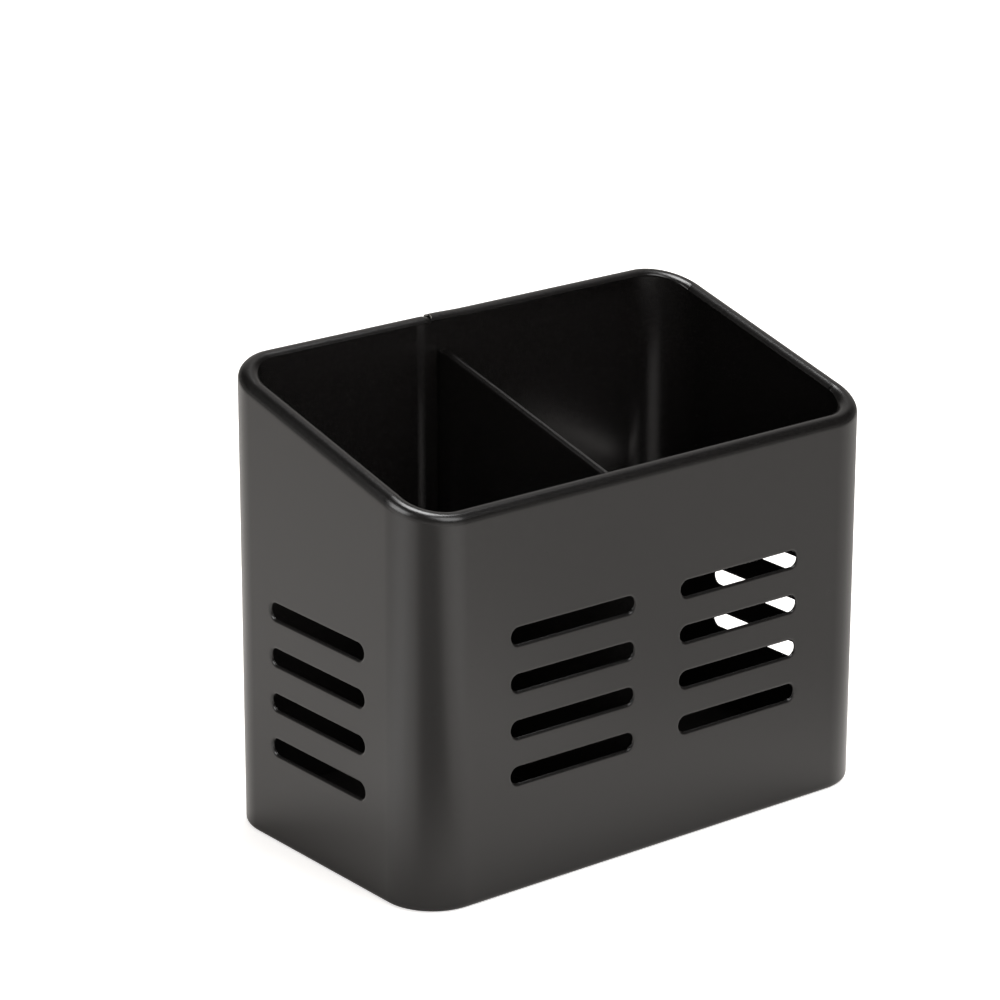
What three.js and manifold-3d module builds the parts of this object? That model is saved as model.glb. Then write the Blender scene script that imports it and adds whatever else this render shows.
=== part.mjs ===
// Cutlery basket: a slotted sheet-steel wall with a slanted rolled rim, a raised floor and a divider.
// Millimetres, +Z up. The origin is the middle of the footprint, on the surface that the basket stands on.
// +X runs along the front wall, +Y from the low front wall to the high back wall.
import * as THREE from 'three';
import { mergeVertices } from 'three/addons/utils/BufferGeometryUtils.js';
import Module from 'manifold-3d';

const wasm = await Module();
wasm.setup();

// Overall sizes
const basketWidth = 187.8;
const basketDepth = 106.9;
const frontHeight = 130;
const backHeight = 156.4;
const cornerRadius = 18.1;

// Sheet steel and clearances
const sheet = 0.6;
const pieceGap = 0.3;
const cutOverrun = 5;

// Rolled rim and turned-in foot of the wall
const rimRadius = 3.6;
const rimSweep = THREE.MathUtils.degToRad(160);
const footRadius = 2;
const footReach = 8;

// Lap seam of the wall, on the back just left of the divider
const outerEndX = -10.8;
const innerEndX = -6.9;
const joggleRun = 3.6;
const joggleGap = 0.4;
const lapClearance = 0.15;
const seamLift = 0.35;
const seamLiftRun = 14;
const seamWeldRadius = 1.4;
const seamWeldCount = 4;
const seamWeldMargin = 22;

// Drain slots, the same on the front and on both sides
const slotLength = 49.5;
const slotHeight = 6.2;
const slotPitch = 15.45;
const slotRows = 4;
const frontSlotSpacing = 68.4;
const frontSlotMiddle = 62.7;
const sideSlotMiddle = 56.9;

// Relief notches of the rolled rim, where each slanted side meets its corners
const notchWidth = 0.5;
const notchReach = 2.6;

// Floor panel
const floorTop = 4.6;
const floorEdgeRadius = 1.4;

// Divider
const dividerFace = -6.2;
const dividerDrop = 11.9;
const rollWidth = 2.8;
const rollReturn = 2;
const rollSetback = 2.5;
const flangeWidth = 10;
const flangeBendRadius = 1.4;
const flangeTopDrop = 6;

// Finish and smoothness
const coatColour = 0x2b2a29;
const coatRoughness = 0.5;
const coatMetalness = 0.1;
const cornerSteps = 10;
const rimSteps = 9;
const footSteps = 3;
const slotEndSteps = 6;
const joggleSteps = 4;
const seamLiftSteps = 4;
const bendSteps = 4;
const rollSteps = 8;
const weldSides = 12;

const halfWidth = basketWidth / 2;
const halfDepth = basketDepth / 2;
const lapShift = sheet + lapClearance;
const quarterTurn = Math.PI / 2;

// Height of the rim above a place y: one slanted plane from the low front to the high back
function rimHeight(y) {
  return frontHeight + (backHeight - frontHeight) * (y + halfDepth) / basketDepth;
}

function finish(geometry, name) {
  const material = new THREE.MeshStandardMaterial({
    color: coatColour, roughness: coatRoughness, metalness: coatMetalness,
  });
  geometry.computeVertexNormals();
  const mesh = new THREE.Mesh(geometry, material);
  mesh.name = name;
  return mesh;
}

// Solids for cutting and joining
function toSolid(geometry) {
  const bare = geometry.clone();
  bare.deleteAttribute('normal');
  bare.deleteAttribute('uv');
  const merged = mergeVertices(bare);
  const vertProperties = new Float32Array(merged.attributes.position.array);
  const triVerts = new Uint32Array(merged.index.array);
  return new wasm.Manifold(new wasm.Mesh({ numProp: 3, vertProperties, triVerts }));
}

function toGeometry(solid) {
  const mesh = solid.getMesh();
  const geometry = new THREE.BufferGeometry();
  geometry.setAttribute('position', new THREE.BufferAttribute(mesh.vertProperties, 3));
  geometry.setIndex(new THREE.BufferAttribute(mesh.triVerts, 1));
  return geometry;
}

function boxSolid(low, high) {
  const size = new THREE.Vector3().subVectors(high, low);
  const middle = new THREE.Vector3().addVectors(low, high).multiplyScalar(1 / 2);
  return toSolid(new THREE.BoxGeometry(size.x, size.y, size.z).translate(middle.x, middle.y, middle.z));
}

// Points of an arc from angle a to angle b, both ends included
function arcPoints(centreU, centreV, radius, a, b, steps) {
  const points = [];
  for (let i = 0; i <= steps; i++) {
    const angle = a + (b - a) * i / steps;
    points.push([centreU + radius * Math.cos(angle), centreV + radius * Math.sin(angle)]);
  }
  return points;
}

// Outline of the basket seen from above, as places on the outer face with their inward direction.
// It starts at the seam's outer end on the back wall and runs clockwise to the inner end.
function wallStations() {
  const stations = [];
  const backStation = (x, shift, lift) => stations.push({
    x, y: halfDepth, inwardX: 0, inwardY: -1, shift, lift,
  });
  for (let i = 0; i <= seamLiftSteps; i++) {
    const share = i / seamLiftSteps;
    const lift = seamLift * (1 + Math.cos(Math.PI * share)) / 2;
    backStation(outerEndX + seamLiftRun * share, 0, lift);
  }
  const corners = [[1, 1, quarterTurn], [1, -1, 0], [-1, -1, -quarterTurn], [-1, 1, -2 * quarterTurn]];
  for (const [sideX, sideY, startAngle] of corners) {
    for (let i = 0; i <= cornerSteps; i++) {
      const angle = startAngle - quarterTurn * i / cornerSteps;
      const outX = Math.cos(angle);
      const outY = Math.sin(angle);
      stations.push({
        x: sideX * (halfWidth - cornerRadius) + cornerRadius * outX,
        y: sideY * (halfDepth - cornerRadius) + cornerRadius * outY,
        inwardX: -outX, inwardY: -outY, shift: 0, lift: 0,
      });
    }
  }
  const joggleEnd = outerEndX - joggleGap;
  for (let i = 0; i <= joggleSteps; i++) {
    const share = i / joggleSteps;
    const shift = lapShift * (1 - Math.cos(Math.PI * share)) / 2;
    backStation(joggleEnd - joggleRun * (1 - share), shift, 0);
  }
  backStation(innerEndX, lapShift, 0);
  return stations;
}

// Section of the sheet at one station: the turned-in foot, the wall and the rolled rim.
// Each point is [distance in from the outer face, height]; the rim's points follow the rim's height.
function wallSection(rimTop, shift) {
  const skin = (inset, steps) => ({
    foot: arcPoints(footRadius, footRadius, footRadius - inset, -quarterTurn, -2 * quarterTurn, footSteps),
    rim: arcPoints(rimRadius, rimTop - rimRadius, rimRadius - inset, Math.PI, Math.PI - rimSweep, steps),
  });
  const outer = skin(shift, rimSteps);
  const inner = skin(shift + sheet, rimSteps);
  return [
    [footReach, shift], ...outer.foot, ...outer.rim,
    ...inner.rim.reverse(), ...inner.foot.reverse(), [footReach, shift + sheet],
  ];
}

// One closed skin from sections of equal length set along the stations, capped at both ends
function sweepSections(sections) {
  const count = sections[0].ring.length;
  const positions = sections.flatMap(({ ring }) => ring.flat());
  const index = [];
  for (let s = 0; s + 1 < sections.length; s++) {
    for (let p = 0; p < count; p++) {
      const q = (p + 1) % count;
      const here = s * count;
      const next = here + count;
      index.push(here + p, here + q, next + p, here + q, next + q, next + p);
    }
  }
  const last = (sections.length - 1) * count;
  const addCap = (section, start, facesBack) => {
    const outline = section.flat.map(([u, v]) => new THREE.Vector2(u, v));
    const flip = facesBack !== THREE.ShapeUtils.isClockWise(outline);
    for (const [a, b, c] of THREE.ShapeUtils.triangulateShape(outline, [])) {
      index.push(start + a, start + (flip ? c : b), start + (flip ? b : c));
    }
  };
  addCap(sections[0], 0, true);
  addCap(sections[sections.length - 1], last, false);
  const geometry = new THREE.BufferGeometry();
  geometry.setAttribute('position', new THREE.Float32BufferAttribute(positions, 3));
  geometry.setIndex(index);
  return geometry;
}

function outward(geometry) {
  const solid = toSolid(geometry);
  if (solid.volume() > 0) return solid;
  const index = geometry.index.array;
  for (let i = 0; i < index.length; i += 3) {
    [index[i], index[i + 1]] = [index[i + 1], index[i]];
  }
  return toSolid(geometry);
}

// A slot with round ends, cut through a wall. It lies along X, or along Y on a side wall.
function slotCutter(centre, alongY) {
  const reach = (slotLength - slotHeight) / 2;
  const radius = slotHeight / 2;
  const shape = new THREE.Shape();
  shape.absarc(reach, 0, radius, -quarterTurn, quarterTurn);
  shape.absarc(-reach, 0, radius, quarterTurn, 3 * quarterTurn);
  const cutter = new THREE.ExtrudeGeometry(shape, {
    depth: 2 * cutOverrun, bevelEnabled: false, curveSegments: slotEndSteps,
  });
  cutter.translate(0, 0, -cutOverrun).rotateX(quarterTurn);
  if (alongY) cutter.rotateZ(quarterTurn);
  return toSolid(cutter.translate(centre.x, centre.y, centre.z));
}

function slotCutters() {
  const cutters = [];
  for (let row = 0; row < slotRows; row++) {
    const rise = (row - (slotRows - 1) / 2) * slotPitch;
    for (const side of [-1, 1]) {
      const front = new THREE.Vector3(side * frontSlotSpacing / 2, -halfDepth, frontSlotMiddle + rise);
      cutters.push(slotCutter(front, false));
      cutters.push(slotCutter(new THREE.Vector3(side * halfWidth, 0, sideSlotMiddle + rise), true));
    }
  }
  return cutters;
}

// A narrow cut through the free edge of the rolled rim at each end of both slanted sides
function rimNotchCutters() {
  const cutters = [];
  const freeEdge = rimRadius * (1 - Math.cos(rimSweep));
  for (const sideX of [-1, 1]) {
    for (const sideY of [-1, 1]) {
      const y = sideY * (halfDepth - cornerRadius);
      const innerX = sideX * (halfWidth - freeEdge - notchReach);
      const outerX = sideX * (halfWidth - freeEdge + notchReach / 2);
      cutters.push(boxSolid(
        new THREE.Vector3(Math.min(innerX, outerX), y - notchWidth / 2, rimHeight(y) - rimRadius),
        new THREE.Vector3(Math.max(innerX, outerX), y + notchWidth / 2, rimHeight(y) + rimRadius),
      ));
    }
  }
  return cutters;
}

// Spot welds that join the two layers of the lap seam
function seamWelds() {
  const welds = [];
  const lowest = seamWeldMargin;
  const highest = backHeight - seamWeldMargin;
  const weldLength = lapShift;
  const weldY = halfDepth - sheet / 2 - weldLength / 2;
  for (let i = 0; i < seamWeldCount; i++) {
    const z = lowest + (highest - lowest) * i / (seamWeldCount - 1);
    const weld = new THREE.CylinderGeometry(seamWeldRadius, seamWeldRadius, weldLength, weldSides);
    welds.push(toSolid(weld.translate((outerEndX + innerEndX) / 2, weldY, z)));
  }
  return welds;
}

function buildWall() {
  const sections = wallStations().map((station) => {
    const flat = wallSection(rimHeight(station.y) + station.lift, station.shift);
    const ring = flat.map(([inset, z]) => [
      station.x + station.inwardX * inset, station.y + station.inwardY * inset, z,
    ]);
    return { flat, ring };
  });
  let wall = outward(sweepSections(sections));
  for (const weld of seamWelds()) wall = wall.add(weld);
  for (const cutter of [...slotCutters(), ...rimNotchCutters()]) wall = wall.subtract(cutter);
  return finish(toGeometry(wall), 'slotted_wall');
}

// Rounded rectangle seen from above, set in from the basket's outer face
function insetRing(inset, z) {
  const ring = [];
  for (const [sideX, sideY, startAngle] of [[1, 1, 0], [-1, 1, 1], [-1, -1, 2], [1, -1, 3]]) {
    const centreX = sideX * (halfWidth - cornerRadius);
    const centreY = sideY * (halfDepth - cornerRadius);
    const a = startAngle * quarterTurn;
    const arc = arcPoints(centreX, centreY, cornerRadius - inset, a, a + quarterTurn, cornerSteps);
    ring.push(...arc.map(([x, y]) => [x, y, z]));
  }
  return ring;
}

// The floor: a flat panel with a short skirt turned down inside the wall, clear of the wall's foot bend
function buildFloor() {
  const inset = sheet + pieceGap;
  const skin = (edge, top, radius) => arcPoints(
    inset + floorEdgeRadius, top - radius, edge, quarterTurn, 2 * quarterTurn, bendSteps);
  const outerArc = skin(floorEdgeRadius, floorTop, floorEdgeRadius);
  const innerArc = skin(floorEdgeRadius - sheet, floorTop, floorEdgeRadius).reverse();
  const profile = [...outerArc, [inset, footRadius], [inset + sheet, footRadius], ...innerArc];
  const rings = profile.map(([distance, z]) => insetRing(distance, z));
  const count = rings[0].length;
  const positions = rings.flat(2);
  const topCentre = rings.length * count;
  positions.push(0, 0, floorTop, 0, 0, floorTop - sheet);
  const index = [];
  for (let p = 0; p < count; p++) {
    const q = (p + 1) % count;
    index.push(topCentre, p, q);
    for (let r = 0; r + 1 < rings.length; r++) {
      const here = r * count;
      const next = here + count;
      index.push(here + p, next + p, here + q, here + q, next + p, next + q);
    }
    const last = (rings.length - 1) * count;
    index.push(topCentre + 1, last + q, last + p);
  }
  const geometry = new THREE.BufferGeometry();
  geometry.setAttribute('position', new THREE.Float32BufferAttribute(positions, 3));
  geometry.setIndex(index);
  const seamNotch = boxSolid(
    new THREE.Vector3(
      outerEndX - joggleGap - joggleRun - pieceGap, halfDepth - lapShift - sheet - pieceGap, 0),
    new THREE.Vector3(innerEndX + pieceGap, halfDepth + cutOverrun, floorTop + cutOverrun),
  );
  return finish(toGeometry(outward(geometry).subtract(seamNotch)), 'floor_panel');
}

// The divider: one sheet with a flange turned to +X at each wall and a roll along its slanted top
function buildDivider() {
  const frontY = -halfDepth + sheet + pieceGap;
  const backY = -frontY;
  const bottom = floorTop + pieceGap;
  const tip = dividerFace + flangeWidth;
  const bend = flangeBendRadius;
  const skin = (inset) => [
    [tip, frontY + inset],
    ...arcPoints(dividerFace + bend, frontY + bend, bend - inset, 3 * quarterTurn, 2 * quarterTurn, bendSteps),
    ...arcPoints(dividerFace + bend, backY - bend, bend - inset, 2 * quarterTurn, quarterTurn, bendSteps),
    [tip, backY - inset],
  ];
  const plan = [...skin(0), ...skin(sheet).reverse()];
  const planShape = new THREE.Shape(plan.map(([x, y]) => new THREE.Vector2(x, y)));
  const upright = new THREE.ExtrudeGeometry(planShape, { depth: backHeight, bevelEnabled: false });
  const panel = toSolid(upright.translate(0, 0, bottom));

  // everything above the slanted top of the panel, lower over the flanges
  const rollRadius = rollWidth / 2;
  const topLine = (y, drop) => rimHeight(y) - drop;
  const slantCutter = (drop, lowX, highX) => {
    const lowY = -halfDepth - cutOverrun;
    const highY = halfDepth + cutOverrun;
    const side = new THREE.Shape([
      new THREE.Vector2(lowY, topLine(lowY, drop)), new THREE.Vector2(highY, topLine(highY, drop)),
      new THREE.Vector2(highY, 2 * backHeight), new THREE.Vector2(lowY, 2 * backHeight),
    ]);
    const cutter = new THREE.ExtrudeGeometry(side, { depth: highX - lowX, bevelEnabled: false });
    const turned = cutter.applyMatrix4(new THREE.Matrix4().makeBasis(
      new THREE.Vector3(0, 1, 0), new THREE.Vector3(0, 0, 1), new THREE.Vector3(1, 0, 0)));
    return toSolid(turned.translate(lowX, 0, 0));
  };
  const overPanel = slantCutter(dividerDrop + rollRadius, dividerFace - cutOverrun, tip + cutOverrun);
  const overFlanges = slantCutter(
    dividerDrop + flangeTopDrop, dividerFace + rollWidth + pieceGap, tip + cutOverrun);

  // the roll: the panel's top turned over to +X in a half round, with a short end turned down
  const rollX = dividerFace + rollRadius;
  const rollOuter = arcPoints(rollX, -dividerDrop - rollRadius, rollRadius, Math.PI, 0, rollSteps);
  const rollInner = arcPoints(rollX, -dividerDrop - rollRadius, rollRadius - sheet, 0, Math.PI, rollSteps);
  const returnEnd = -dividerDrop - rollRadius - rollReturn;
  const rollOutline = [
    ...rollOuter,
    [dividerFace + rollWidth, returnEnd], [dividerFace + rollWidth - sheet, returnEnd],
    ...rollInner,
    [dividerFace + sheet, returnEnd], [dividerFace, returnEnd],
  ];
  const rollSection = (y) => rollOutline.map(([x, drop]) => [x, y, rimHeight(y) + drop]);
  const rollStart = frontY + rollSetback;
  const rollEnd = backY - rollSetback;
  const roll = outward(sweepSections([rollStart, rollEnd].map((y) => ({ flat: rollOutline, ring: rollSection(y) }))));
  const body = panel.subtract(overPanel).subtract(overFlanges).add(roll);
  return finish(toGeometry(body), 'divider_panel');
}

const basket = new THREE.Group();
basket.add(buildWall(), buildFloor(), buildDivider());

export default basket;
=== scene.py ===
import math

import bmesh
import bpy
from mathutils import Matrix, Vector


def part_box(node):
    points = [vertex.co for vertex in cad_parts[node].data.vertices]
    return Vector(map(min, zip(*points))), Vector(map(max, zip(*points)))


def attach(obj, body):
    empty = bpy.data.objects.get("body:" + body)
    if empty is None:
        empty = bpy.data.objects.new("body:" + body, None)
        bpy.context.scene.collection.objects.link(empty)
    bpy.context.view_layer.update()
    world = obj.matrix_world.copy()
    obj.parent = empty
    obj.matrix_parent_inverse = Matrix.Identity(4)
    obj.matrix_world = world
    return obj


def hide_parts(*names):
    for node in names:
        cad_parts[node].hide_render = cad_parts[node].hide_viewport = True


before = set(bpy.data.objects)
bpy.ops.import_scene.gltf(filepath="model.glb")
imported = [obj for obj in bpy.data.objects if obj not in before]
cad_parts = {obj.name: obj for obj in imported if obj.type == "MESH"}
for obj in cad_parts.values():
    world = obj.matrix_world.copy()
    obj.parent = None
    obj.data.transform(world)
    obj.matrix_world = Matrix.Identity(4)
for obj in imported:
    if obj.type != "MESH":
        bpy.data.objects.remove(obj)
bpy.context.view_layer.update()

mm = 0.001
near = 0.02 * mm  # two places closer than this are the same

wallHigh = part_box("slotted_wall")[1]
floorLow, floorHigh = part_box("floor_panel")
dividerLow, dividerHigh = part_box("divider_panel")
halfWidth = wallHigh.x
halfDepth = wallHigh.y

# Sizes that all three pieces of sheet share
basket = {
    "sheet": 0.6 * mm,
    "frontHeight": 130 * mm,
    "backHeight": 156.4 * mm,
    "cornerRadius": 18.1 * mm,
    "cornerSteps": 24,
    "coatedEdge": 0.2 * mm,  # how far deburring and the coating round a cut edge
    "coatedEdgeSteps": 3,
    "sharpAngle": math.radians(38),
    "standIns": ("coat", "cutEdge"),  # materials that only tell the faces of the cut edges from the rest
}


def rimHeight(y):
    share = (y + halfDepth) / (2 * halfDepth)
    return basket["frontHeight"] + (basket["backHeight"] - basket["frontHeight"]) * share


def deselectAll():
    for each in bpy.context.selected_objects:
        each.select_set(False)


def startEdit(piece, kind):
    deselectAll()
    piece.select_set(True)
    bpy.context.view_layer.objects.active = piece
    bpy.ops.object.mode_set(mode="EDIT")
    bpy.ops.mesh.select_mode(type=kind)
    bpy.ops.mesh.select_all(action="DESELECT")


def endEdit():
    bpy.ops.object.mode_set(mode="OBJECT")


def pickPoints(piece, test):
    bpy.ops.mesh.select_mode(type="VERT")
    bpy.ops.mesh.select_all(action="DESELECT")
    mesh = bmesh.from_edit_mesh(piece.data)
    for vertex in mesh.verts:
        if test(vertex.co):
            vertex.select_set(True)
    mesh.select_flush_mode()
    bmesh.update_edit_mesh(piece.data)


def pickEdges(piece, test):
    bpy.ops.mesh.select_mode(type="EDGE")
    bpy.ops.mesh.select_all(action="DESELECT")
    mesh = bmesh.from_edit_mesh(piece.data)
    for edge in mesh.edges:
        if test(edge):
            edge.select_set(True)
    bmesh.update_edit_mesh(piece.data)


def pickFaces(piece, test):
    bpy.ops.mesh.select_mode(type="FACE")
    bpy.ops.mesh.select_all(action="DESELECT")
    mesh = bmesh.from_edit_mesh(piece.data)
    for face in mesh.faces:
        if test(face):
            face.select_set(True)
    bmesh.update_edit_mesh(piece.data)


def edgeInside(edge, test):
    return all(test(vertex.co) for vertex in edge.verts)


def applyPlace(piece):
    deselectAll()
    piece.select_set(True)
    bpy.context.view_layer.objects.active = piece
    bpy.ops.object.transform_apply(location=True, rotation=True, scale=True)


def addPlane(name, centre, turn, size):
    deselectAll()
    bpy.ops.mesh.primitive_plane_add(size=1, location=centre, rotation=turn)
    piece = bpy.context.object
    piece.name = name
    piece.scale = (size[0], size[1], 1)
    applyPlace(piece)
    return piece


def addBlock(name, low, high):
    deselectAll()
    centre = (Vector(low) + Vector(high)) / 2
    bpy.ops.mesh.primitive_cube_add(size=1, location=centre)
    piece = bpy.context.object
    piece.name = name
    piece.scale = Vector(high) - Vector(low)
    applyPlace(piece)
    return piece


def applyModifier(piece, name, kind, **settings):
    deselectAll()
    piece.select_set(True)
    bpy.context.view_layer.objects.active = piece
    modifier = piece.modifiers.new(name, kind)
    for key, value in settings.items():
        setattr(modifier, key, value)
    bpy.ops.object.modifier_apply(modifier=modifier.name)


def extrudeEdges(step):
    bpy.ops.mesh.extrude_region_move(TRANSFORM_OT_translate={"value": step})


def joinInto(piece, others):
    deselectAll()
    for other in others:
        other.select_set(True)
    piece.select_set(True)
    bpy.context.view_layer.objects.active = piece
    bpy.ops.object.join()


def cutWith(piece, cutter):
    applyModifier(piece, "cut", "BOOLEAN", operation="DIFFERENCE", solver="EXACT", object=cutter)
    bpy.data.objects.remove(cutter)


def thicken(piece):
    for material in basket["standIns"]:
        piece.data.materials.append(bpy.data.materials.get(material) or bpy.data.materials.new(material))
    applyModifier(
        piece, "sheet", "SOLIDIFY", thickness=basket["sheet"], offset=-1, material_offset_rim=1,
        use_even_offset=True, use_quality_normals=True,
    )


def roundCutEdges(piece):
    applyModifier(
        piece, "coatedEdges", "BEVEL", width=basket["coatedEdge"], segments=basket["coatedEdgeSteps"],
        limit_method="ANGLE", angle_limit=basket["sharpAngle"], miter_outer="MITER_SHARP", material=1,
    )


def finishShape(piece):
    deselectAll()
    piece.select_set(True)
    bpy.context.view_layer.objects.active = piece
    bpy.ops.object.shade_smooth_by_angle(angle=basket["sharpAngle"])
    applyModifier(piece, "flatPanels", "WEIGHTED_NORMAL", mode="FACE_AREA", keep_sharp=True)


# Camera: where the photograph was taken from, worked out from the basket's own edges and slots
camera = {
    "place": (-783.42 * mm, -965.94 * mm, 535.21 * mm),
    "yaw": math.radians(38.27),
    "pitch": math.radians(19.14),
    "roll": math.radians(0.11),
    "lens": 146.61,
    "sensor": 36,
    "clip": (0.05, 50),
}


def addCamera():
    data = bpy.data.cameras.new("studioCamera")
    data.lens = camera["lens"]
    data.sensor_width = camera["sensor"]
    data.clip_start, data.clip_end = camera["clip"]
    body = bpy.data.objects.new("studioCamera", data)
    bpy.context.scene.collection.objects.link(body)
    turn = Matrix.Rotation(-camera["yaw"], 4, "Z")
    tilt = Matrix.Rotation(math.pi / 2 - camera["pitch"], 4, "X")
    roll = Matrix.Rotation(camera["roll"], 4, "Z")
    body.matrix_world = Matrix.Translation(camera["place"]) @ turn @ tilt @ roll
    bpy.context.scene.camera = body


addCamera()
print("camera in place")

# Slotted wall: one strip of sheet, curled in at the rim and turned in at the foot, closed by a lap seam
wall = {
    "rimRadius": 3.6 * mm,
    "rimSweep": math.radians(143),
    "rimSteps": 18,
    "footRadius": 2 * mm,
    "footSteps": 8,
    "footReach": 8 * mm,
    "middle": 60 * mm,  # between the foot's points and the rim's points
}
seam = {
    "outerEndX": -10.8 * mm,
    "innerEndX": -6.9 * mm,
    "joggleRun": 3.6 * mm,
    "joggleGap": 0.4 * mm,
    "joggleSteps": 8,
    "shift": 0.75 * mm,  # the inner layer lies this far inside the outer one
    "lift": 0.35 * mm,  # the rim rises a little towards the outer end
    "liftRun": 14 * mm,
    "liftSteps": 8,
    # the curled end isn't square: degrees round the curl, and how many mm the end runs on over the seam.
    # Where it runs on more than 1 mm it also stands off the layer below
    "skew": ((0, 0), (30, 0.4), (55, 1.8), (68, 0.1), (90, 0.8), (117, 1.3), (143, 2.1)),
    "skewLift": 0.12 * mm,
    # how far the worn end reaches: along the rim, in from the back, and down from the top
    "wornRun": 1.6 * mm,
    "wornReach": 5.76 * mm,
    "wornDrop": 1.8 * mm,
}


def startStrip():
    startX = seam["outerEndX"]
    endX = startX + seam["liftRun"]
    rimCentre = rimHeight(halfDepth) - wall["rimRadius"]
    middle = ((startX + endX) / 2, halfDepth, (rimCentre + wall["footRadius"]) / 2)
    size = (endX - startX, rimCentre - wall["footRadius"])
    strip = addPlane("wallSheet", middle, (-math.pi / 2, 0, 0), size)
    startEdit(strip, "EDGE")
    pickEdges(strip, lambda edge: edgeInside(edge, lambda co: co.z > wall["middle"]))
    bpy.ops.mesh.spin(
        steps=wall["rimSteps"], angle=-wall["rimSweep"], axis=(1, 0, 0),
        center=(0, halfDepth - wall["rimRadius"], rimCentre),
    )
    pickEdges(strip, lambda edge: edgeInside(edge, lambda co: co.z < wall["middle"]))
    bpy.ops.mesh.spin(
        steps=wall["footSteps"], angle=math.pi / 2, axis=(1, 0, 0),
        center=(0, halfDepth - wall["footRadius"], wall["footRadius"]),
    )
    extrudeEdges((0, wall["footRadius"] - wall["footReach"], 0))
    for i in range(1, seam["liftSteps"]):
        x = startX + seam["liftRun"] * i / seam["liftSteps"]
        bpy.ops.mesh.select_all(action="SELECT")
        bpy.ops.mesh.bisect(plane_co=(x, 0, 0), plane_no=(1, 0, 0))
    skewEnd(strip)
    for i in range(seam["liftSteps"]):
        share = i / seam["liftSteps"]
        x = startX + seam["liftRun"] * share
        lift = seam["lift"] * (1 + math.cos(math.pi * share)) / 2
        raiseRim(strip, lambda co: abs(co.x - x) < near or (i == 0 and co.x < x), lift)
    return strip, endX


def skewEnd(strip):
    radius = wall["rimRadius"]
    centre = Vector((seam["outerEndX"], halfDepth - radius, rimHeight(halfDepth) - radius))
    for i in range(1, wall["rimSteps"] + 1):
        angle = wall["rimSweep"] * i / wall["rimSteps"]
        outward = Vector((0, math.cos(angle), math.sin(angle)))
        place = centre + radius * outward
        shift = skewAt(math.degrees(angle)) * mm
        pickPoints(strip, lambda co: (co - place).length < near)
        lift = seam["skewLift"] * max(0, min(1, shift / mm - 1))
        bpy.ops.transform.translate(value=outward * lift - Vector((shift, 0, 0)))


def skewAt(angle):
    angle = min(angle, seam["skew"][-1][0])
    for (before, low), (after, high) in zip(seam["skew"], seam["skew"][1:]):
        if angle <= after:
            return low + (high - low) * (angle - before) / (after - before)


def raiseRim(strip, onRing, lift):
    pickPoints(strip, lambda co: co.z > wall["middle"] and onRing(co))
    bpy.ops.transform.translate(value=(0, 0, lift))


def pickRing(strip, onRing):
    pickEdges(strip, lambda edge: edgeInside(edge, onRing))


def turnCorner(strip, sideX, sideY, startAngle):
    radius = basket["cornerRadius"]
    steps = basket["cornerSteps"]
    centre = Vector((sideX * (halfWidth - radius), sideY * (halfDepth - radius), 0))
    bpy.ops.mesh.spin(steps=steps, angle=math.pi / 2, axis=(0, 0, 1), center=centre)
    startY = centre.y + radius * math.sin(startAngle)
    for i in range(1, steps + 1):
        angle = startAngle - math.pi / 2 * i / steps
        outward = Vector((math.cos(angle), math.sin(angle), 0))
        across = Vector((-outward.y, outward.x, 0))

        def onRing(co):
            place = co - centre
            return abs(place.dot(across)) < near and place.dot(outward) > 0

        raiseRim(strip, onRing, rimHeight(centre.y + radius * outward.y) - rimHeight(startY))
    return onRing


def runStraight(strip, onRing, step):
    pickRing(strip, onRing)
    extrudeEdges(step)
    if step.y:
        def onNewRing(co):
            return onRing(co - Vector((0, step.y, 0)))

        lift = rimHeight(halfDepth + step.y) - rimHeight(halfDepth)
        raiseRim(strip, onNewRing, lift)
        pickRing(strip, onNewRing)
        return onNewRing
    return lambda co: onRing(co - step)


def nestRing(strip, x, shiftBefore, shiftNow):
    rimRadius = wall["rimRadius"]
    footRadius = wall["footRadius"]
    rimScale = (rimRadius - shiftNow) / (rimRadius - shiftBefore)
    footScale = (footRadius - shiftNow) / (footRadius - shiftBefore)
    footEnd = halfDepth - footRadius - near
    pickPoints(strip, lambda co: abs(co.x - x) < near and co.z > wall["middle"])
    bpy.ops.transform.resize(
        value=(1, rimScale, rimScale),
        center_override=(x, halfDepth - rimRadius, rimHeight(halfDepth) - rimRadius),
    )
    pickPoints(strip, lambda co: abs(co.x - x) < near and co.z < wall["middle"] and co.y > footEnd)
    bpy.ops.transform.resize(
        value=(1, footScale, footScale), center_override=(x, halfDepth - footRadius, footRadius),
    )
    pickPoints(strip, lambda co: abs(co.x - x) < near and co.z < wall["middle"] and co.y <= footEnd)
    bpy.ops.transform.translate(value=(0, 0, shiftNow - shiftBefore))


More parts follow.
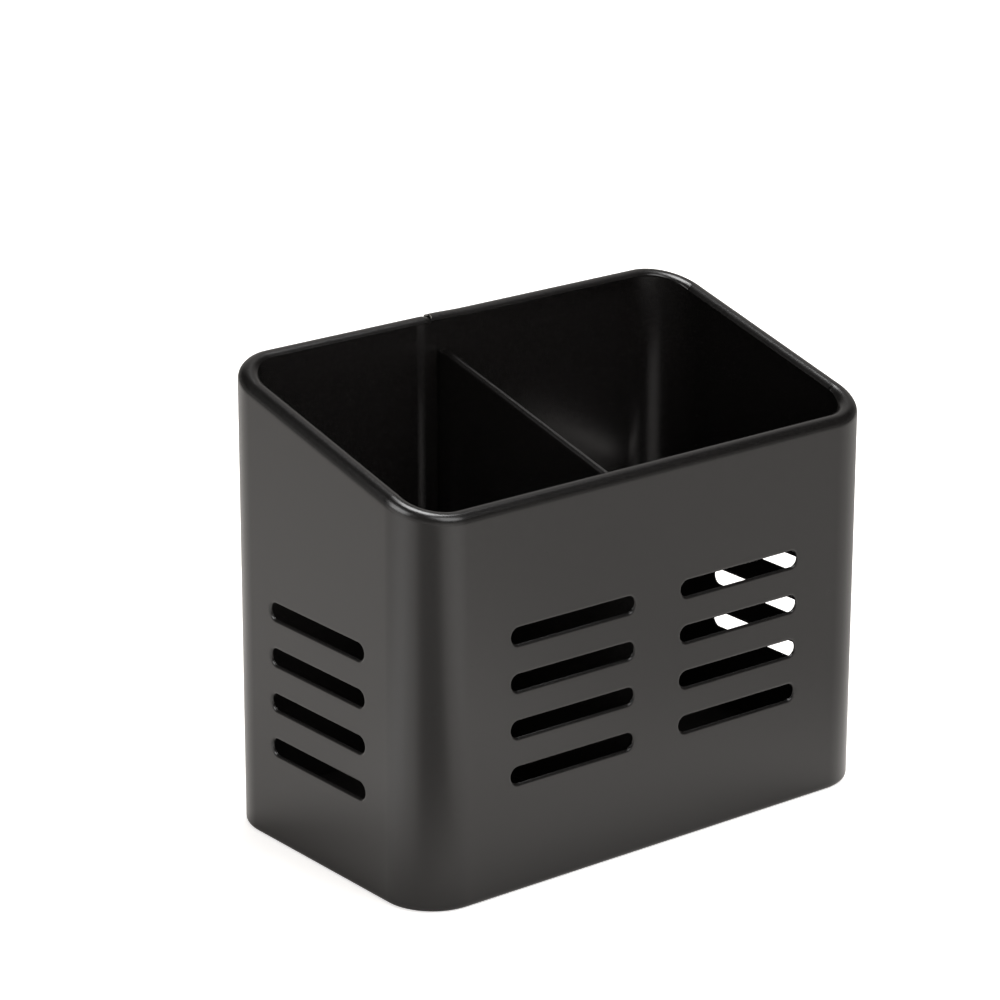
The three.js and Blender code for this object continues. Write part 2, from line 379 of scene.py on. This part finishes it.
def sweepStrip():
    strip, ringX = startStrip()
    radius = basket["cornerRadius"]
    straightX = halfWidth - radius
    straightY = halfDepth - radius

    def onRing(co, x=ringX):
        return abs(co.x - x) < near

    pickRing(strip, onRing)
    extrudeEdges((straightX - ringX, 0, 0))
    onRing = turnCorner(strip, 1, 1, math.pi / 2)
    onRing = runStraight(strip, onRing, Vector((0, -2 * straightY, 0)))
    onRing = turnCorner(strip, 1, -1, 0)
    onRing = runStraight(strip, onRing, Vector((-2 * straightX, 0, 0)))
    pickRing(strip, onRing)
    onRing = turnCorner(strip, -1, -1, -math.pi / 2)
    onRing = runStraight(strip, onRing, Vector((0, 2 * straightY, 0)))
    onRing = turnCorner(strip, -1, 1, -math.pi)
    pickRing(strip, onRing)
    joggleEnd = seam["outerEndX"] - seam["joggleGap"]
    x = joggleEnd - seam["joggleRun"]
    extrudeEdges((x + straightX, 0, 0))
    shiftBefore = 0
    for i in range(1, seam["joggleSteps"] + 1):
        pickRing(strip, lambda co: abs(co.x - x) < near)
        extrudeEdges((seam["joggleRun"] / seam["joggleSteps"], 0, 0))
        x += seam["joggleRun"] / seam["joggleSteps"]
        shiftNow = seam["shift"] * (1 - math.cos(math.pi * i / seam["joggleSteps"])) / 2
        nestRing(strip, x, shiftBefore, shiftNow)
        shiftBefore = shiftNow
    pickRing(strip, lambda co: abs(co.x - x) < near)
    extrudeEdges((seam["innerEndX"] - x, 0, 0))
    bpy.ops.mesh.select_all(action="SELECT")
    bpy.ops.mesh.normals_make_consistent(inside=False)
    endEdit()
    return strip


# Drain slots: each is a collar of rings whose edge is rolled inwards, filled into its panel
slots = {
    "length": 50 * mm,
    "height": 6.2 * mm,
    "pitch": 15.45 * mm,
    "rows": 4,
    "frontSpacing": 68.4 * mm,
    "frontMiddle": 62.7 * mm,
    "sideMiddle": 56.9 * mm,
    # the punched groups don't sit quite in the middle of their walls, and the right one is a little higher
    "frontOffset": 0.2 * mm,
    "sideOffset": 0.6 * mm,
    "rightRise": 0.45 * mm,
    "flatRing": 0.4 * mm,
    "rollRadius": 1.05 * mm,
    "rollSweep": math.radians(76),
    "rollSteps": 6,
    "rollStart": 0.65 * mm,  # the roll starts this far outside the slot's nominal edge
    "endSteps": 16,
}


def addCollar(centre, turn):
    reach = slots["rollStart"] + slots["flatRing"]
    size = (slots["length"] + 2 * reach, slots["height"] + 2 * reach)
    collar = addPlane("slotCollar", centre, turn, size)
    startEdit(collar, "VERT")
    bpy.ops.mesh.select_all(action="SELECT")
    bpy.ops.mesh.bevel(
        offset=size[1] / 2, segments=slots["endSteps"], affect="VERTICES", clamp_overlap=False,
    )
    bpy.ops.mesh.select_all(action="SELECT")
    bpy.ops.mesh.remove_doubles(threshold=near)
    bpy.ops.mesh.select_mode(type="FACE")
    bpy.ops.mesh.select_all(action="SELECT")
    bpy.ops.mesh.inset(thickness=slots["flatRing"], depth=0)
    radius, steps = slots["rollRadius"], slots["rollSteps"]
    angles = [slots["rollSweep"] * i / steps for i in range(steps + 1)]
    for before, now in zip(angles, angles[1:]):
        inwards = radius * (math.sin(now) - math.sin(before))
        deeper = radius * (math.cos(before) - math.cos(now))
        bpy.ops.mesh.inset(thickness=inwards, depth=-deeper)
    bpy.ops.mesh.delete(type="FACE")
    endEdit()
    return collar


def fillPanel(strip, onPanel, collars):
    startEdit(strip, "FACE")
    pickFaces(strip, lambda face: all(onPanel(vertex.co) for vertex in face.verts))
    bpy.ops.mesh.delete(type="ONLY_FACE")
    endEdit()
    joinInto(strip, collars)
    startEdit(strip, "EDGE")
    pickEdges(strip, lambda edge: edge.is_boundary and edgeInside(edge, onPanel))
    bpy.ops.mesh.fill(use_beauty=True)
    endEdit()


def punchSlots(strip):
    straightX = halfWidth - basket["cornerRadius"] + near
    straightY = halfDepth - basket["cornerRadius"] + near
    upright = math.pi / 2
    frontCollars, leftCollars, rightCollars = [], [], []
    for row in range(slots["rows"]):
        rise = (row - (slots["rows"] - 1) / 2) * slots["pitch"]
        for side in (-1, 1):
            x = side * slots["frontSpacing"] / 2 + slots["frontOffset"]
            place = (x, -halfDepth, slots["frontMiddle"] + rise)
            frontCollars.append(addCollar(place, (upright, 0, 0)))
        sideZ = slots["sideMiddle"] + rise
        leftCollars.append(addCollar((-halfWidth, slots["sideOffset"], sideZ), (upright, 0, -upright)))
        sideZ += slots["rightRise"]
        rightCollars.append(addCollar((halfWidth, slots["sideOffset"], sideZ), (upright, 0, upright)))
    fillPanel(strip, lambda co: abs(co.y + halfDepth) < near and abs(co.x) < straightX, frontCollars)
    fillPanel(strip, lambda co: abs(co.x + halfWidth) < near and abs(co.y) < straightY, leftCollars)
    fillPanel(strip, lambda co: abs(co.x - halfWidth) < near and abs(co.y) < straightY, rightCollars)
    startEdit(strip, "FACE")
    bpy.ops.mesh.select_all(action="SELECT")
    bpy.ops.mesh.normals_make_consistent(inside=False)
    endEdit()


def faceOutwards(piece, onFace, outward):
    faces = [face for face in piece.data.polygons if onFace(face.center)]
    if sum(face.normal.dot(outward) * face.area for face in faces) < 0:
        startEdit(piece, "FACE")
        bpy.ops.mesh.select_all(action="SELECT")
        bpy.ops.mesh.flip_normals()
        endEdit()


# Relief notches in the curled rim, where each slanted side meets its corners
notches = {
    "width": 0.5 * mm,
    "reach": 2.6 * mm,
}


def cutNotches(strip):
    radius = wall["rimRadius"]
    freeEdge = radius * (1 - math.cos(wall["rimSweep"]))
    for sideX in (-1, 1):
        for sideY in (-1, 1):
            y = sideY * (halfDepth - basket["cornerRadius"])
            ends = sorted((
                sideX * (halfWidth - freeEdge - notches["reach"]),
                sideX * (halfWidth - freeEdge + notches["reach"] / 2),
            ))
            low = (ends[0], y - notches["width"] / 2, rimHeight(y) - radius)
            high = (ends[1], y + notches["width"] / 2, rimHeight(y) + radius)
            cutWith(strip, addBlock("notchCutter", low, high))


wallSheet = sweepStrip()
print("wall strip swept")
punchSlots(wallSheet)
faceOutwards(wallSheet, lambda co: abs(co.y + halfDepth) < near, Vector((0, -1, 0)))
print("slots punched")
thicken(wallSheet)
cutNotches(wallSheet)
roundCutEdges(wallSheet)
print("wall finished", len(wallSheet.data.polygons), "faces")

# Floor: a flat panel with a short skirt turned down inside the wall
floor = {
    "edgeRadius": 1.4 * mm,
    "edgeSteps": 6,
    "seamGap": 0.3 * mm,
}


def bendFloor():
    panel = addBlock("floorSheet", floorLow, floorHigh)
    inset = halfWidth - floorHigh.x
    startEdit(panel, "EDGE")
    pickEdges(panel, lambda edge: abs(edge.verts[0].co.z - edge.verts[1].co.z) > near)
    bpy.ops.mesh.bevel(
        offset=basket["cornerRadius"] - inset, segments=basket["cornerSteps"], affect="EDGES",
    )
    pickFaces(panel, lambda face: face.normal.z < -0.5)
    bpy.ops.mesh.delete(type="FACE")
    pickEdges(panel, lambda edge: edgeInside(edge, lambda co: co.z > floorHigh.z - near))
    bpy.ops.mesh.bevel(offset=floor["edgeRadius"], segments=floor["edgeSteps"], affect="EDGES")
    endEdit()
    faceOutwards(panel, lambda co: co.z > floorHigh.z - near, Vector((0, 0, 1)))
    thicken(panel)
    gap = floor["seamGap"]
    seamStart = seam["outerEndX"] - seam["joggleGap"] - seam["joggleRun"] - gap
    low = (seamStart, halfDepth - seam["shift"] - basket["sheet"] - gap, -gap)
    high = (seam["innerEndX"] + gap, halfDepth, floorHigh.z + gap)
    cutWith(panel, addBlock("seamCutter", low, high))
    roundCutEdges(panel)
    return panel


floorSheet = bendFloor()
print("floor bent", len(floorSheet.data.polygons), "faces")

# Divider: a panel with a flange at each wall and a roll along its slanted top
divider = {
    "drop": 11.9 * mm,  # from the rim's plane down to the top of the roll
    "rollWidth": 2.8 * mm,
    "rollSteps": 16,
    "rollReturn": 2 * mm,
    "rollSetback": 2.5 * mm,
    "bendRadius": 1.4 * mm,
    "bendSteps": 8,
    "flangeDrop": 6 * mm,
    "flangeGap": 0.3 * mm,
}


def bendDivider():
    faceX = dividerLow.x
    frontY, backY = dividerLow.y, dividerHigh.y
    rollRadius = divider["rollWidth"] / 2
    slope = (basket["backHeight"] - basket["frontHeight"]) / (2 * halfDepth)
    topDrop = divider["drop"] + rollRadius
    frontTop = rimHeight(frontY) - topDrop
    middle = (faceX, 0, (frontTop + dividerLow.z) / 2)
    size = (backY - frontY, frontTop - dividerLow.z)
    panel = addPlane("dividerSheet", middle, (math.pi / 2, 0, -math.pi / 2), size)
    startEdit(panel, "VERT")
    pickPoints(panel, lambda co: co.z > frontTop - near and co.y > 0)
    bpy.ops.transform.translate(value=(0, 0, slope * (backY - frontY)))
    rollStart = frontY + divider["rollSetback"]
    rollEnd = backY - divider["rollSetback"]
    for y in (rollStart, rollEnd):
        bpy.ops.mesh.select_all(action="SELECT")
        bpy.ops.mesh.bisect(plane_co=(0, y, 0), plane_no=(0, 1, 0))

    # flanges: a short full-height part behind each bend, then the lower wide part
    shortPart = divider["rollWidth"] + divider["flangeGap"]
    for y in (frontY, backY):
        pickEdges(panel, lambda edge: edgeInside(edge, lambda co: abs(co.y - y) < near))
        extrudeEdges((shortPart, 0, 0))
    flangeTop = Vector((0, frontY, rimHeight(frontY) - divider["drop"] - divider["flangeDrop"]))
    bpy.ops.mesh.select_all(action="SELECT")
    bpy.ops.mesh.bisect(plane_co=flangeTop, plane_no=(0, -slope, 1))

    def onWidePart(co):
        return co.x > faceX + shortPart - near and co.z < flangeTop.z + slope * (co.y - frontY) + near

    def onBend(co):
        return abs(co.x - faceX) < near and min(abs(co.y - frontY), abs(co.y - backY)) < near

    pickEdges(panel, lambda edge: edgeInside(edge, onWidePart))
    extrudeEdges((dividerHigh.x - faceX - shortPart, 0, 0))
    pickEdges(panel, lambda edge: edgeInside(edge, onBend))
    bpy.ops.mesh.bevel(offset=divider["bendRadius"], segments=divider["bendSteps"], affect="EDGES")

    # roll: the middle of the slanted top edge turned over to the right, with a short end turned down
    along = Vector((0, 1, slope)).normalized()

    def onTopEdge(co):
        return co.z > rimHeight(co.y) - topDrop - near and rollStart - near < co.y < rollEnd + near

    pickEdges(panel, lambda edge: edgeInside(edge, onTopEdge))
    bpy.ops.mesh.spin(
        steps=divider["rollSteps"], angle=-math.pi, axis=along,
        center=(faceX + rollRadius, frontY, frontTop),
    )
    extrudeEdges((0, 0, -divider["rollReturn"]))
    bpy.ops.mesh.select_all(action="SELECT")
    bpy.ops.mesh.normals_make_consistent(inside=False)
    endEdit()
    faceOutwards(panel, lambda co: abs(co.x - faceX) < near, Vector((-1, 0, 0)))
    thicken(panel)
    roundCutEdges(panel)
    return panel


dividerSheet = bendDivider()
print("divider bent", len(dividerSheet.data.polygons), "faces")


# Finish
def linear(hexColour):
    def channel(place):
        value = int(hexColour[place:place + 2], 16) / 255
        return value / 12.92 if value <= 0.04045 else ((value + 0.055) / 1.055) ** 2.4

    return (channel(1), channel(3), channel(5), 1)


# an input goes by its name, or by its number where two of a node's inputs share a name
def addNode(tree, kind, settings=(), inputs=()):
    node = tree.nodes.new(kind)
    for key, value in dict(settings).items():
        setattr(node, key, value)
    for key, value in dict(inputs).items():
        socket = next(each for i, each in enumerate(node.inputs) if key in (i, each.name) and each.enabled)
        if isinstance(value, bpy.types.NodeSocket):
            tree.links.new(value, socket)
        else:
            socket.default_value = value
    return node


def outputOf(node, name):
    return next(each for each in node.outputs if each.name == name and each.enabled)


# Powder coating: polyester powder sprayed on sheet steel and baked. It flows into a satin skin with a
# fine grain and a faint orange peel, and lies thinner and smoother over the cut edges. At the seam's end
# on the rim it is worn through to the steel.
coat = {
    "colour": "#080707",
    "lighter": "#0c0b0b",  # in wide clouds
    "speck": "#121110",  # in the grain
    "thin": "#22201f",  # over the cut edges
    "steel": "#a19e99",
    "roughness": 0.25,
    "roughnessSpread": 0.05,
    "thinRoughness": 0.22,
    "steelRoughness": 0.34,
    "refraction": 1.5,
    # size, octaves and how much the finer octaves count. The real grain is about 0.1 mm, too fine to show,
    # so it is drawn coarser
    "patterns": {
        "peel": (2.2 * mm, 1, 0.4),
        "grain": (0.9 * mm, 3, 0.7),
        "cloud": (60 * mm, 3, 0.5),
        "wear": (5 * mm, 4, 0.6),
    },
    "peelHeight": 0.004 * mm,
    "grainHeight": 0.004 * mm,
    "speckRange": (0.3, 0.7),  # values of the grain between which the specks come in
    "thinRange": (0.42, 0.62),  # the same for the wear pattern times the wear of the edge
    "bareRange": (0.85, 1.05),
    "edgeWear": 1,
    "seamWear": 2,
}


def makePowderCoat():
    material = bpy.data.materials.new("satinPowderCoatedSteel")
    material.use_nodes = True
    tree = material.node_tree
    tree.nodes.clear()
    place = addNode(tree, "ShaderNodeTexCoord").outputs["Object"]
    pattern = {}
    for name, (size, octaves, finer) in coat["patterns"].items():
        noise = addNode(tree, "ShaderNodeTexNoise", inputs={
            "Vector": place, "Scale": 1 / size, "Detail": octaves, "Roughness": finer})
        pattern[name] = noise.outputs["Fac"]
    onEdge = addNode(tree, "ShaderNodeAttribute", {"attribute_name": "edgeWear"}).outputs["Fac"]
    worn = addNode(tree, "ShaderNodeMath", {"operation": "MULTIPLY"}, {0: pattern["wear"], 1: onEdge})
    pattern["worn"] = worn.outputs["Value"]
    share = {"cloud": pattern["cloud"]}
    ramps = (("speck", "grain", "LINEAR"), ("thin", "worn", "SMOOTHSTEP"), ("bare", "worn", "SMOOTHSTEP"))
    for name, source, kind in ramps:
        low, high = coat[name + "Range"]
        ramp = addNode(tree, "ShaderNodeMapRange", {"interpolation_type": kind}, {
            "Value": pattern[source], "From Min": low, "From Max": high})
        share[name] = ramp.outputs["Result"]

    colour = linear(coat["colour"])
    for name, shareName in (("lighter", "cloud"), ("speck", "speck"), ("thin", "thin"), ("steel", "bare")):
        mix = addNode(tree, "ShaderNodeMix", {"data_type": "RGBA"}, {
            "Factor": share[shareName], "A": colour, "B": linear(coat[name])})
        colour = outputOf(mix, "Result")
    satin = addNode(tree, "ShaderNodeMapRange", inputs={
        "Value": pattern["grain"],
        "To Min": coat["roughness"] - coat["roughnessSpread"],
        "To Max": coat["roughness"] + coat["roughnessSpread"]})
    roughness = satin.outputs["Result"]
    for name, shareName in (("thinRoughness", "thin"), ("steelRoughness", "bare")):
        mix = addNode(tree, "ShaderNodeMix", {"data_type": "FLOAT"}, {
            "Factor": share[shareName], "A": roughness, "B": coat[name]})
        roughness = outputOf(mix, "Result")
    peelBump = addNode(tree, "ShaderNodeBump", inputs={
        "Height": pattern["peel"], "Distance": coat["peelHeight"]})
    grainBump = addNode(tree, "ShaderNodeBump", inputs={
        "Height": pattern["grain"], "Distance": coat["grainHeight"],
        "Normal": peelBump.outputs["Normal"]})
    shader = addNode(tree, "ShaderNodeBsdfPrincipled", inputs={
        "Base Color": colour, "Roughness": roughness, "Metallic": share["bare"],
        "Normal": grainBump.outputs["Normal"], "IOR": coat["refraction"]})
    addNode(tree, "ShaderNodeOutputMaterial", inputs={"Surface": shader.outputs["BSDF"]})
    return material


def onSeamEnd(co):
    start = seam["outerEndX"]
    onEnd = start - seam["wornRun"] < co.x < start + near and co.y > halfDepth - seam["wornReach"]
    return onEnd and co.z > rimHeight(halfDepth) - seam["wornDrop"]


def markWear(piece):
    wear = piece.data.attributes.new("edgeWear", "FLOAT", "CORNER")
    for face in piece.data.polygons:
        amount = 0
        if face.material_index == 1:
            amount = coat["seamWear"] if onSeamEnd(face.center) else coat["edgeWear"]
        for corner in face.loop_indices:
            wear.data[corner].value = amount
        face.material_index = 0


powderCoat = makePowderCoat()
pieces = ((wallSheet, "slotted_wall"), (floorSheet, "floor_panel"), (dividerSheet, "divider_panel"))
for piece, node in pieces:
    markWear(piece)
    finishShape(piece)
    piece.data.name = piece.name
    piece.data.materials.clear()
    piece.data.materials.append(powderCoat)
    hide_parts(node)
    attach(piece, "root")
for material in basket["standIns"]:
    bpy.data.materials.remove(bpy.data.materials[material])
print("powder coat applied")

# Studio: a white floor, soft boxes above, at the left and over the front, and a dimmer room beyond them.
# The walls mirror the floor and the rims mirror the room. The room is lighter and darker by direction, and
# the floor has painted shade and painted pools of light by direction, which the camera doesn't see
# directly.
studio = {
    "floorSize": 6,
    "floorColour": "#f2efec",
    # a glow that only the camera sees, so that the floor reads white beyond the shadow
    "glowNear": 0.6,
    "glowFar": 1,
    "glowReach": 1,
    "diffuseStrength": 0.5,
    "roomColour": "#fffbf7",
    # the mirrored room is light up to the first height of a direction, and dim from the second
    "lowTop": 0.05,
    "highStart": 0.55,
    "highLight": 0.08,
    # how bright the room's light and the floor's painted shade and light are round the basket, from the
    # far side (-1) to the dark side (1)
    "darkSide": -136,
    "floorPaintedShade": (
        (-1, 0.44), (-0.8, 0.7), (-0.5, 0.88), (0.3, 0.88), (0.76, 1.5), (0.9, 1.2), (0.99, 0.45),
    ),
    "roomRing": (
        (-1, 0.25), (-0.6, 0.25), (0, 0.35), (0.15, 0.6), (0.42, 1.4), (0.7, 1.7), (0.99, 0.8),
    ),
    "ringMost": 2,
    # both the room's light and the floor's painted shade and light are made lighter towards lightSide
    "lightSide": 150,  # all round, it is lighter towards this side
    "lightShare": 0.18,
    # the floor's painted shade and light fade in between these distances from the basket's middle
    "nearFloor": 0.12,
    "farFloor": 0.2,
    # a large dim panel behind the basket, only mirrored: azimuth, elevation, where it starts and is full
    "panelSide": 50,
    "panelRise": 24,
    "panelEdge": math.cos(math.radians(38)),
    "panelFull": math.cos(math.radians(10)),
    "panelLight": 0.42,
    # azimuth and elevation in degrees, distance, width and height in metres, watts, what it lights
    "lights": (
        ("keyBox", 30, 75, 2.4, (0.7, 1.1), 35, "all"),
        ("leftBox", 177, 42, 0.9, (0.45, 0.45), 3.4, "mirrored"),
        ("frontBox", -79, 55, 0.92, (0.45, 0.45), 2.8, "all"),
        ("wallFill", -130, 15, 2, (0.8, 0.8), 12, "matt"),
        ("frontFill", -50, 45, 1.2, (0.5, 0.5), 2.5, "matt"),
    ),
}


def aim(side, rise=0):
    azimuth, elevation = math.radians(side), math.radians(rise)
    flat = math.cos(elevation)
    return Vector((math.cos(azimuth) * flat, math.sin(azimuth) * flat, math.sin(elevation)))


def addLight(name, azimuth, elevation, distance, size, power, lit):
    data = bpy.data.lights.new(name, "AREA")
    data.shape = "RECTANGLE"
    data.size, data.size_y = size
    data.energy = power
    lamp = bpy.data.objects.new(name, data)
    bpy.context.scene.collection.objects.link(lamp)
    middle = Vector((0, 0, basket["frontHeight"] / 2))
    away = aim(azimuth, elevation)
    lamp.location = middle + away * distance
    lamp.rotation_euler = (-away).to_track_quat("-Z", "Y").to_euler()
    lamp.visible_camera = False
    lamp.visible_glossy = lit != "matt"
    lamp.visible_diffuse = lit != "mirrored"


def ringShade(tree, direction, ring):
    darker = addNode(tree, "ShaderNodeVectorMath", {"operation": "DOT_PRODUCT"}, {
        0: direction, 1: aim(studio["darkSide"])})
    place = addNode(tree, "ShaderNodeMapRange", inputs={"Value": darker.outputs["Value"], "From Min": -1})
    ramp = addNode(tree, "ShaderNodeValToRGB", inputs={"Fac": place.outputs["Result"]})
    ramp.color_ramp.interpolation = "EASE"
    stops = ramp.color_ramp.elements
    while len(stops) < len(ring):
        stops.new(0.5)
    for stop, (side, light) in zip(stops, ring):
        stop.position = (side + 1) / 2
        level = light / studio["ringMost"]
        stop.color = (level, level, level, 1)
    level = addNode(tree, "ShaderNodeMapRange", inputs={
        "Value": ramp.outputs["Color"], "To Max": studio["ringMost"]})
    lighter = addNode(tree, "ShaderNodeVectorMath", {"operation": "DOT_PRODUCT"}, {
        0: direction, 1: aim(studio["lightSide"])})
    share = addNode(tree, "ShaderNodeMapRange", inputs={
        "Value": lighter.outputs["Value"], "From Min": -1,
        "To Min": 1 - studio["lightShare"], "To Max": 1 + studio["lightShare"]})
    shade = addNode(tree, "ShaderNodeMath", {"operation": "MULTIPLY"}, {
        0: level.outputs["Result"], 1: share.outputs["Result"]})
    return shade.outputs["Value"]


def addStudioFloor():
    stage = addPlane("studioFloor", (0, 0, 0), (0, 0, 0), (studio["floorSize"], studio["floorSize"]))
    material = bpy.data.materials.new("whitePaperSweep")
    material.use_nodes = True
    tree = material.node_tree
    tree.nodes.clear()
    ray = addNode(tree, "ShaderNodeLightPath")
    place = addNode(tree, "ShaderNodeTexCoord").outputs["Object"]
    reach = addNode(tree, "ShaderNodeVectorMath", {"operation": "LENGTH"}, {"Vector": place})
    direction = addNode(tree, "ShaderNodeVectorMath", {"operation": "NORMALIZE"}, {"Vector": place})
    # painted shade and light: away from the basket, the floor's colour is painted lighter and darker round
    # it by the ring, for every ray but the camera's, so the walls mirror it
    far = addNode(tree, "ShaderNodeMapRange", inputs={
        "Value": reach.outputs["Value"], "From Min": studio["nearFloor"], "From Max": studio["farFloor"]})
    ring = ringShade(tree, direction.outputs["Vector"], studio["floorPaintedShade"])
    notCamera = addNode(tree, "ShaderNodeMath", {"operation": "SUBTRACT"}, {
        0: 1, 1: ray.outputs["Is Camera Ray"]})
    amount = addNode(tree, "ShaderNodeMath", {"operation": "MULTIPLY"}, {
        0: far.outputs["Result"], 1: notCamera.outputs["Value"]})
    shade = addNode(tree, "ShaderNodeMix", {"data_type": "FLOAT"}, {
        "Factor": amount.outputs["Value"], "A": 1, "B": ring})
    colour = addNode(tree, "ShaderNodeMix", {"data_type": "RGBA"}, {
        "Factor": outputOf(shade, "Result"), "A": (0, 0, 0, 1), "B": linear(studio["floorColour"])})
    paper = addNode(tree, "ShaderNodeBsdfDiffuse", inputs={"Color": outputOf(colour, "Result")})
    # painted light: the floor glows in a painted pool where the ring asks for more than white, only in
    # mirrored directions
    pool = addNode(tree, "ShaderNodeMapRange", inputs={
        "Value": ring, "From Min": 1, "From Max": studio["ringMost"]})
    farPool = addNode(tree, "ShaderNodeMath", {"operation": "MULTIPLY"}, {
        0: pool.outputs["Result"], 1: far.outputs["Result"]})
    mirroredPool = addNode(tree, "ShaderNodeMath", {"operation": "MULTIPLY"}, {
        0: farPool.outputs["Value"], 1: ray.outputs["Is Glossy Ray"]})
    white = addNode(tree, "ShaderNodeMapRange", inputs={
        "Value": reach.outputs["Value"], "From Min": studio["farFloor"], "From Max": studio["glowReach"],
        "To Min": studio["glowNear"], "To Max": studio["glowFar"]})
    seen = addNode(tree, "ShaderNodeMath", {"operation": "MAXIMUM"}, {
        0: ray.outputs["Is Camera Ray"], 1: ray.outputs["Is Transmission Ray"]})
    seenGlow = addNode(tree, "ShaderNodeMath", {"operation": "MULTIPLY"}, {
        0: seen.outputs["Value"], 1: white.outputs["Result"]})
    glow = addNode(tree, "ShaderNodeMath", {"operation": "ADD"}, {
        0: mirroredPool.outputs["Value"], 1: seenGlow.outputs["Value"]})
    lift = addNode(tree, "ShaderNodeEmission", inputs={"Strength": glow.outputs["Value"]})
    both = addNode(tree, "ShaderNodeAddShader", inputs={
        0: paper.outputs["BSDF"], 1: lift.outputs["Emission"]})
    addNode(tree, "ShaderNodeOutputMaterial", inputs={"Surface": both.outputs["Shader"]})
    stage.data.materials.append(material)


def addWorld():
    world = bpy.data.worlds.new("studioWorld")
    bpy.context.scene.world = world
    world.use_nodes = True
    tree = world.node_tree
    tree.nodes.clear()
    ray = addNode(tree, "ShaderNodeLightPath")
    direction = addNode(tree, "ShaderNodeTexCoord").outputs["Generated"]
    rise = addNode(tree, "ShaderNodeSeparateXYZ", inputs={"Vector": direction}).outputs["Z"]
    room = addNode(tree, "ShaderNodeMapRange", {"interpolation_type": "SMOOTHSTEP"}, {
        "Value": rise, "From Min": studio["lowTop"], "From Max": studio["highStart"],
        "To Min": 1, "To Max": studio["highLight"]})
    ring = ringShade(tree, direction, studio["roomRing"])
    panelwards = addNode(tree, "ShaderNodeVectorMath", {"operation": "DOT_PRODUCT"}, {
        0: direction, 1: aim(studio["panelSide"], studio["panelRise"])})
    panel = addNode(tree, "ShaderNodeMapRange", {"interpolation_type": "SMOOTHSTEP"}, {
        "Value": panelwards.outputs["Value"],
        "From Min": studio["panelEdge"], "From Max": studio["panelFull"], "To Max": studio["panelLight"]})
    ringed = addNode(tree, "ShaderNodeMath", {"operation": "MULTIPLY"}, {
        0: room.outputs["Result"], 1: ring})
    mirrored = addNode(tree, "ShaderNodeMath", {"operation": "ADD"}, {
        0: ringed.outputs["Value"], 1: panel.outputs["Result"]})
    strength = addNode(tree, "ShaderNodeMix", {"data_type": "FLOAT"}, {
        "Factor": ray.outputs["Is Glossy Ray"], "A": studio["diffuseStrength"],
        "B": mirrored.outputs["Value"]})
    seen = addNode(tree, "ShaderNodeMath", {"operation": "MAXIMUM"}, {
        0: ray.outputs["Is Camera Ray"], 1: ray.outputs["Is Transmission Ray"]})
    whole = addNode(tree, "ShaderNodeMix", {"data_type": "FLOAT"}, {
        "Factor": seen.outputs["Value"], "A": outputOf(strength, "Result"), "B": 1})
    tint = addNode(tree, "ShaderNodeMix", {"data_type": "RGBA"}, {
        "Factor": seen.outputs["Value"], "A": linear(studio["roomColour"]), "B": (1, 1, 1, 1)})
    light = addNode(tree, "ShaderNodeBackground", inputs={
        "Color": outputOf(tint, "Result"), "Strength": outputOf(whole, "Result")})
    addNode(tree, "ShaderNodeOutputWorld", inputs={"Surface": light.outputs["Background"]})


addStudioFloor()
addWorld()
for light in studio["lights"]:
    addLight(*light)
bpy.context.scene.view_settings.view_transform = "Standard"
print("studio ready")
